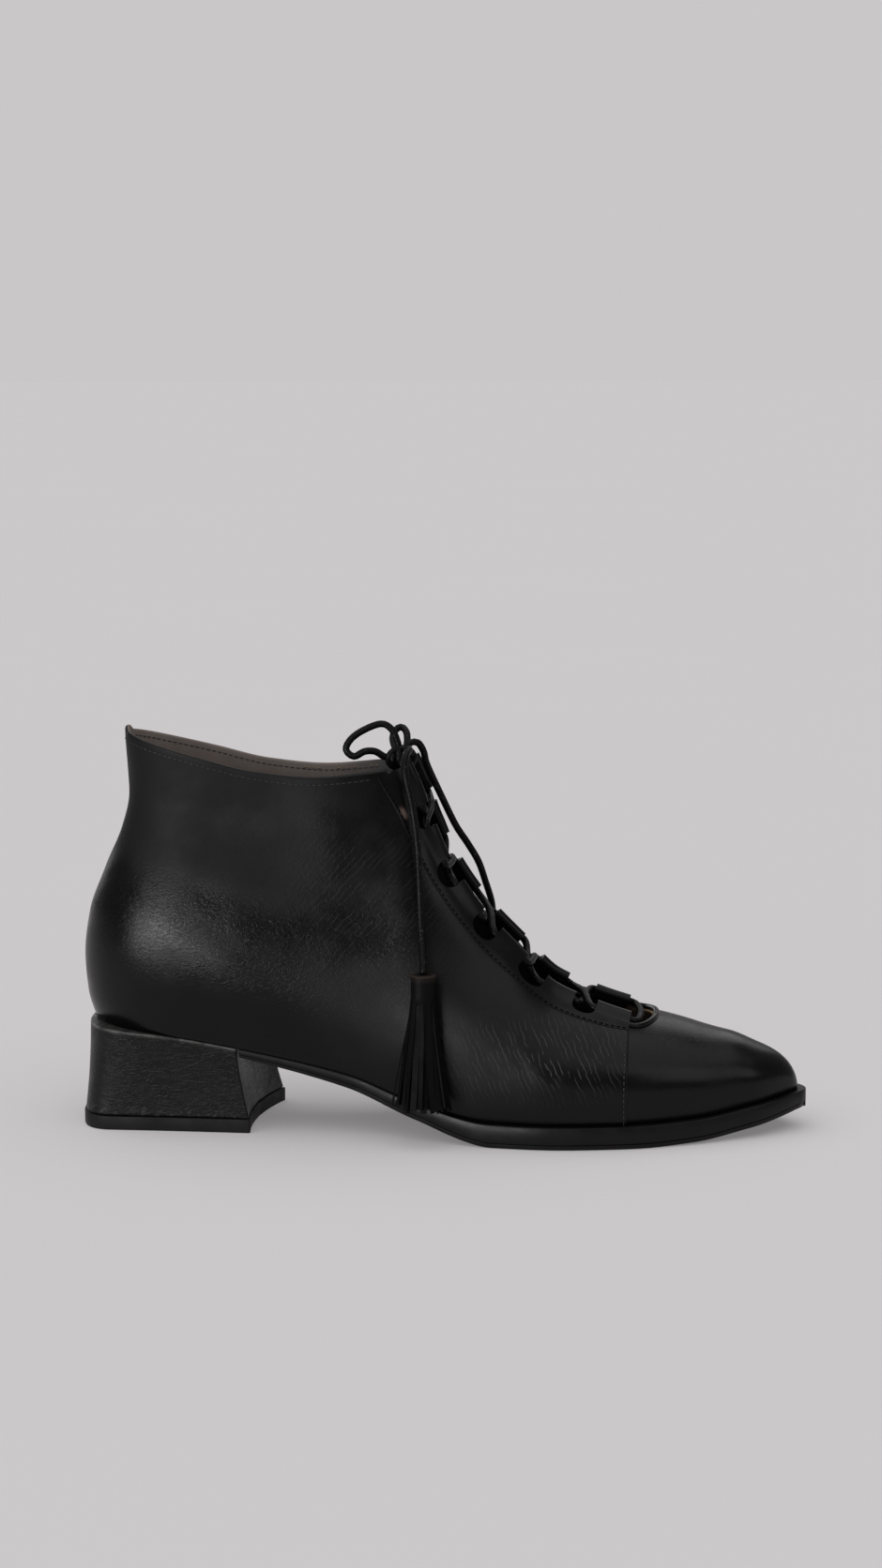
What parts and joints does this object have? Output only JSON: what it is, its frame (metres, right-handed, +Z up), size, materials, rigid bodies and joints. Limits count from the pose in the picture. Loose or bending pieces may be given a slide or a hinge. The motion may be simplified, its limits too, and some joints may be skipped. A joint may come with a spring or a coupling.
{
  "type": "pointed toe ankle boot",
  "caption": "Right ankle boot for wearing on a foot: pointed toe, open throat laced through leather loops, lace bow ending in tassels, and a covered block heel.",
  "frame": {"origin": "on the floor, in the middle of the boot's box without the lace's free ends and tassels", "axes": "+X from the heel to the toe, +Y to the inner side of the foot, +Z up from the floor"},
  "size_m": [0.2741, 0.0936, 0.1531],
  "materials": {
    "upper_leather": "smooth black leather, low sheen",
    "heel_leather": "black leather cover with fine wrinkles",
    "sole_edge": "satin black edge",
    "rubber": "matte black",
    "insole_leather": "matte grey-brown lining leather",
    "waxed_cord": "black waxed round cord",
    "tassel_leather": "soft black leather strips"
  },
  "bodies": {
    "root": {"upper": "upper_leather", "outsole": "sole_edge", "heel_block": "heel_leather", "top_lift": "rubber", "insole": "insole_leather", "lace_loop_outer_1": "upper_leather", "lace_loop_inner_1": "upper_leather", "lace_loop_outer_2": "upper_leather", "lace_loop_inner_2": "upper_leather", "lace_loop_outer_3": "upper_leather", "lace_loop_inner_3": "upper_leather", "lace_loop_outer_4": "upper_leather", "lace_loop_inner_4": "upper_leather", "lace_loop_outer_5": "upper_leather", "lace_loop_inner_5": "upper_leather", "lace_loop_outer_6": "upper_leather", "lace_loop_inner_6": "upper_leather", "lace": "waxed_cord", "lace_knot": "waxed_cord", "bow_loop_back": "waxed_cord", "bow_loop_upright": "waxed_cord", "lace_end_outer": "waxed_cord", "lace_end_inner": "waxed_cord", "tassel_outer": "tassel_leather", "tassel_inner": "tassel_leather"}
  },
  "joints": []
}
